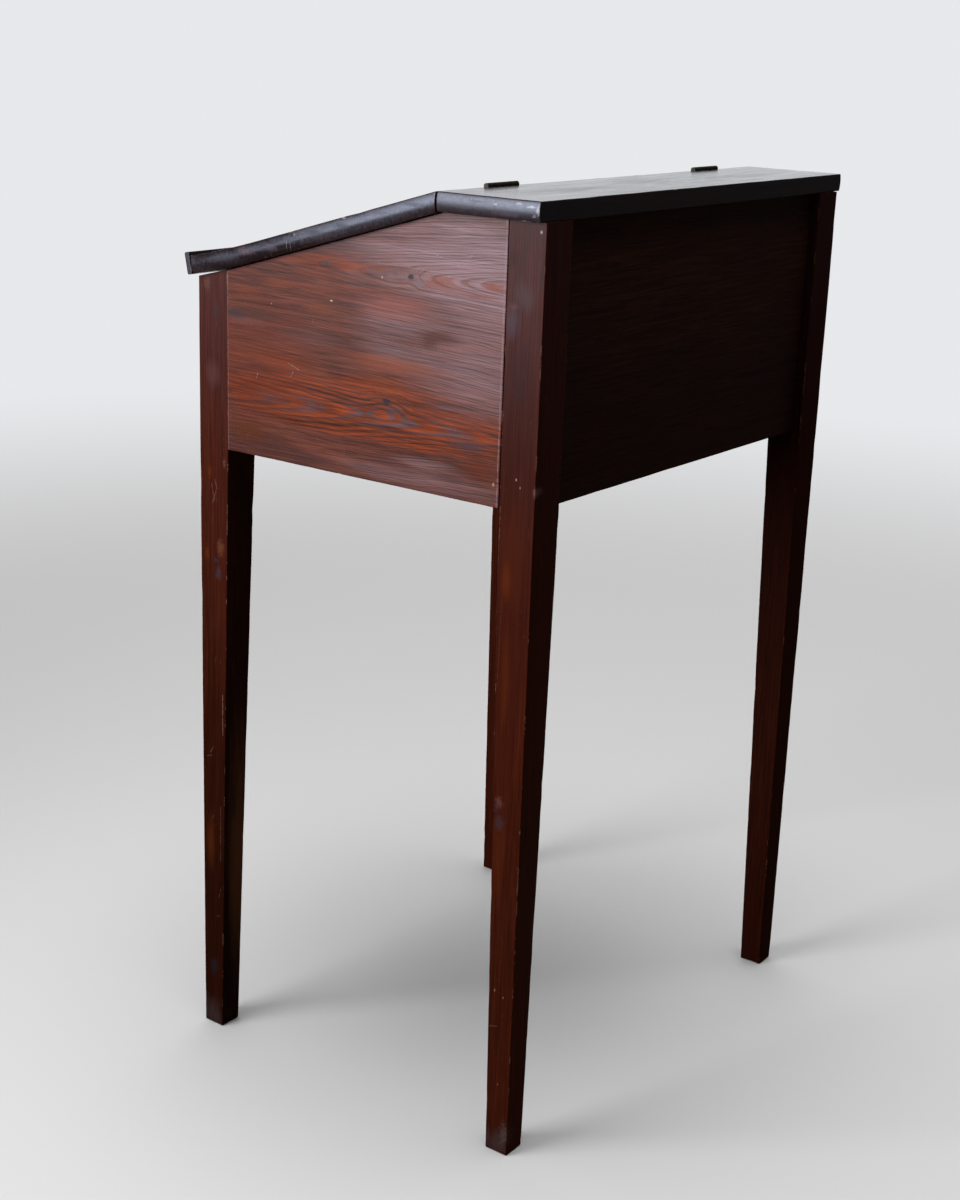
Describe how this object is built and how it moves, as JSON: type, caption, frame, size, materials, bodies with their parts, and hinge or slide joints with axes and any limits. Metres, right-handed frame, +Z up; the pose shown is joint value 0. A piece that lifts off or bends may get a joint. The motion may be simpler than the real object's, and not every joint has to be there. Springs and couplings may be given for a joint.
{
  "type": "standing desk",
  "caption": "Tall slant-front standing desk in dark stained pine, with tapered legs, a panelled writing well and a hinged sloping lid with a book lip.",
  "frame": {"origin": "on the floor, under the middle of the whole desk's box", "axes": "+Z up; +X towards the right of a user who stands in front; +Y towards the back, away from the user; the lid slopes down towards -Y"},
  "size_m": [0.74, 0.5586, 1.2285],
  "materials": {
    "leg_wood": "dark red-brown stained pine, waxed satin, worn on the arrises",
    "panel_wood": "red-brown stained pine with cathedral grain, waxed satin",
    "back_wood": "nearly black-brown stained pine, satin",
    "top_wood": "dark stained pine, polished by use",
    "inner_wood": "unfinished aged pine",
    "hinge_brass": "aged brass, darkened by tarnish",
    "iron": "old dark iron"
  },
  "bodies": {
    "desk": {"leg_front_right": "leg_wood", "leg_front_left": "leg_wood", "leg_back_right": "leg_wood", "leg_back_left": "leg_wood", "side_panel_right": "panel_wood", "side_panel_left": "panel_wood", "back_panel": "back_wood", "front_panel": "panel_wood", "bottom_board_front": "inner_wood", "bottom_board_middle": "inner_wood", "bottom_board_back": "inner_wood", "bottom_cleat_front": "inner_wood", "bottom_cleat_back": "inner_wood", "bottom_cleat_right": "inner_wood", "bottom_cleat_left": "inner_wood", "top_board": "top_wood", "glue_blocks": "inner_wood", "hinge_right_top_leaf": "hinge_brass", "hinge_right_pin": "hinge_brass", "hinge_left_top_leaf": "hinge_brass", "hinge_left_pin": "hinge_brass", "hinge_screws_top": "iron", "cleat_screws": "iron", "bottom_nails": "iron"},
    "lid": {"lid_board": "top_wood", "lid_lip": "top_wood", "hinge_right_lid_leaf": "hinge_brass", "hinge_left_lid_leaf": "hinge_brass", "hinge_screws_lid": "iron", "lip_brads": "iron"}
  },
  "joints": [
    {"name": "lid_hinge", "type": "hinge", "parent": "desk", "child": "lid", "pos_m": [0, 0.12934, 1.225], "axis": [-1, 0, 0], "range_deg": [0, 190]}
  ]
}
